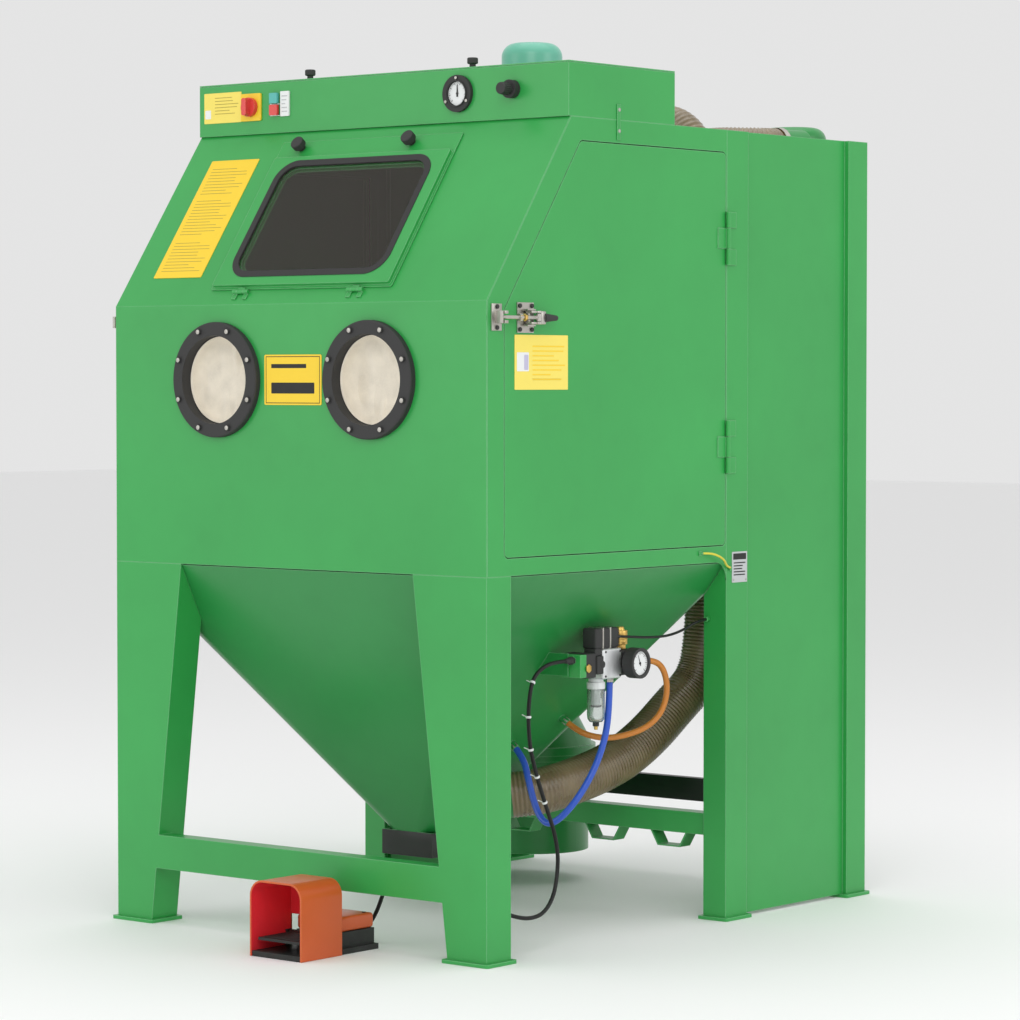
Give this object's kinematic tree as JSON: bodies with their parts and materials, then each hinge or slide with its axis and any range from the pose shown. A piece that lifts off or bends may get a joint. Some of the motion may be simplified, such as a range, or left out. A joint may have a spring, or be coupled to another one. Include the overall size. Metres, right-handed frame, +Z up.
{
  "type": "sandblast cabinet",
  "caption": "Green sheet-steel sandblast cabinet on legs with slanted window, glove ports, side doors, media hopper, rear dust bay and foot pedal.",
  "frame": {"origin": "centre of the four corner anchor holes, on the floor", "axes": "+X to the operator's right, +Y from the operator to the back, +Z up"},
  "size_m": [1.165, 1.62, 2.058],
  "materials": {
    "green_powder": "satin powder coat",
    "green_inner": "satin powder coat, dusty",
    "black_rubber": "matt",
    "glove_cloth": "woven cotton, dusty",
    "dark_glass": "polished",
    "black_plastic": "fine texture",
    "zinc_steel": "zinc plated",
    "yellow_plate": "satin foil",
    "red_plastic": "gloss",
    "grey_plastic": "satin",
    "teal_paint": "satin enamel",
    "pedal_orange": "satin enamel",
    "hose_brown": "ribbed, translucent",
    "hose_blue": "satin",
    "hose_orange": "satin",
    "cable_black": "matt",
    "earth_yellow": "satin",
    "alu_block": "machined",
    "bowl_clear": "clear plastic",
    "filter_paper": "pleated",
    "bare_steel": "worn by grit",
    "lamp_cover": "satin"
  },
  "bodies": {
    "cabinet": {"front_panel": "green_powder", "front_frame": "green_powder", "side_frame_right": "green_powder", "side_frame_left": "green_powder", "door_seals": "black_rubber", "chamber_back": "green_powder", "hopper": "green_powder", "floor_grate": "bare_steel", "bay_side_right": "green_powder", "bay_side_left": "green_powder", "bay_beams": "green_powder", "foot_plates": "green_powder", "glove_rings": "black_plastic", "gloves": "glove_cloth", "fixed_hardware": "zinc_steel", "top_box": "green_powder", "lamp": "lamp_cover", "plates": "yellow_plate", "gauge_body": "black_plastic", "air_unit": "alu_block", "air_bowl": "bowl_clear", "air_gauge": "black_plastic", "blast_gun": "alu_block", "cyclone": "green_powder", "fan_housing": "green_powder", "fan_motor": "teal_paint", "filter_housing": "green_powder", "filter_cartridge": "filter_paper", "pedal_base": "black_plastic", "pedal_hood": "pedal_orange", "reclaim_hose": "hose_brown", "duct_hose": "hose_brown", "blue_hose": "hose_blue", "orange_hose": "hose_orange", "pedal_cable": "cable_black", "control_cable": "cable_black", "earth_wire": "earth_yellow"},
    "door_right": {"door_right": "green_powder", "latch_base_right": "zinc_steel"},
    "door_left": {"door_left": "green_powder", "latch_base_left": "zinc_steel"},
    "latch_lever_right": {"latch_lever_right": "zinc_steel"},
    "latch_lever_left": {"latch_lever_left": "zinc_steel"},
    "latch_hook_right": {"latch_hook_right": "zinc_steel"},
    "latch_hook_left": {"latch_hook_left": "zinc_steel"},
    "window_flap": {"window_frame": "green_powder", "window_glass": "dark_glass", "window_gasket": "black_rubber"},
    "window_knob_left": {"window_knob_left": "black_plastic"},
    "window_knob_right": {"window_knob_right": "black_plastic"},
    "top_lid": {"top_lid": "green_powder", "lid_knobs": "black_plastic"},
    "isolator_knob": {"isolator_knob": "red_plastic"},
    "start_button": {"start_button": "grey_plastic"},
    "stop_button": {"stop_button": "red_plastic"},
    "regulator_knob": {"regulator_knob": "black_plastic"},
    "gauge_needle": {"gauge_needle": "black_plastic"},
    "pedal_treadle": {"pedal_treadle": "black_plastic"},
    "impeller": {"impeller": "alu_block"},
    "dust_drum": {"dust_drum": "green_powder"}
  },
  "joints": [
    {"name": "door_right_swing", "type": "hinge", "parent": "cabinet", "child": "door_right", "pos_m": [0.556, 0.139, 1.3155], "axis": [0, 0, 1], "range_deg": [0, 120]},
    {"name": "latch_lever_right_turn", "type": "hinge", "parent": "door_right", "child": "latch_lever_right", "pos_m": [0.562, -0.581, 1.363], "axis": [0, 0, -1], "range_deg": [0, 120]},
    {"name": "latch_hook_right_turn", "type": "hinge", "parent": "latch_lever_right", "child": "latch_hook_right", "pos_m": [0.574, -0.563, 1.363], "axis": [0, 0, -1], "range_deg": [-120, 0]},
    {"name": "door_left_swing", "type": "hinge", "parent": "cabinet", "child": "door_left", "pos_m": [-0.556, 0.139, 1.3155], "axis": [0, 0, -1], "range_deg": [0, 120]},
    {"name": "latch_lever_left_turn", "type": "hinge", "parent": "door_left", "child": "latch_lever_left", "pos_m": [-0.562, -0.581, 1.363], "axis": [0, 0, 1], "range_deg": [0, 120]},
    {"name": "latch_hook_left_turn", "type": "hinge", "parent": "latch_lever_left", "child": "latch_hook_left", "pos_m": [-0.574, -0.563, 1.363], "axis": [0, 0, 1], "range_deg": [-120, 0]},
    {"name": "window_swing", "type": "hinge", "parent": "cabinet", "child": "window_flap", "pos_m": [0, -0.69274, 1.42658], "axis": [1, 0, 0], "range_deg": [0, 120]},
    {"name": "window_knob_left_turn", "type": "hinge", "parent": "window_flap", "child": "window_knob_left", "pos_m": [-0.2, -0.46609, 1.75986], "axis": [0, -0.8179, 0.5754], "continuous": true},
    {"name": "window_knob_right_turn", "type": "hinge", "parent": "window_flap", "child": "window_knob_right", "pos_m": [0.13, -0.46609, 1.75986], "axis": [0, -0.8179, 0.5754], "continuous": true},
    {"name": "top_lid_swing", "type": "hinge", "parent": "cabinet", "child": "top_lid", "pos_m": [0, -0.0495, 1.912], "axis": [-1, 0, 0], "range_deg": [0, 75]},
    {"name": "isolator_turn", "type": "hinge", "parent": "cabinet", "child": "isolator_knob", "pos_m": [-0.383, -0.436, 1.858], "axis": [0, 1, 0], "range_deg": [0, 90]},
    {"name": "start_button_press", "type": "slide", "parent": "cabinet", "child": "start_button", "axis": [0, 1, 0], "range_m": [0, 0.003], "stiffness_N_per_m": 400},
    {"name": "stop_button_press", "type": "slide", "parent": "cabinet", "child": "stop_button", "axis": [0, 1, 0], "range_m": [0, 0.003], "stiffness_N_per_m": 400},
    {"name": "regulator_turn", "type": "hinge", "parent": "cabinet", "child": "regulator_knob", "pos_m": [0.396, -0.446, 1.86], "axis": [0, -1, 0], "continuous": true},
    {"name": "gauge_needle_turn", "type": "hinge", "parent": "cabinet", "child": "gauge_needle", "pos_m": [0.242, -0.438, 1.858], "axis": [0, 1, 0], "range_deg": [0, 270]},
    {"name": "pedal_treadle_press", "type": "hinge", "parent": "cabinet", "child": "pedal_treadle", "pos_m": [0.13, -0.791, 0.038], "axis": [1, 0, 0], "range_deg": [0, 10], "stiffness_Nm_per_rad": 40, "springref_deg": -2.86},
    {"name": "impeller_spin", "type": "hinge", "parent": "cabinet", "child": "impeller", "pos_m": [-0.25, 0.424, 1.7], "axis": [0, 0, 1], "continuous": true},
    {"name": "dust_drum_lower", "type": "slide", "parent": "cabinet", "child": "dust_drum", "axis": [0, 0, -1], "range_m": [0, 0.05]}
  ],
  "couplings": [
    {"joint": "latch_hook_right_turn", "follows": "latch_lever_right_turn", "ratio": -1},
    {"joint": "latch_hook_left_turn", "follows": "latch_lever_left_turn", "ratio": -1}
  ]
}
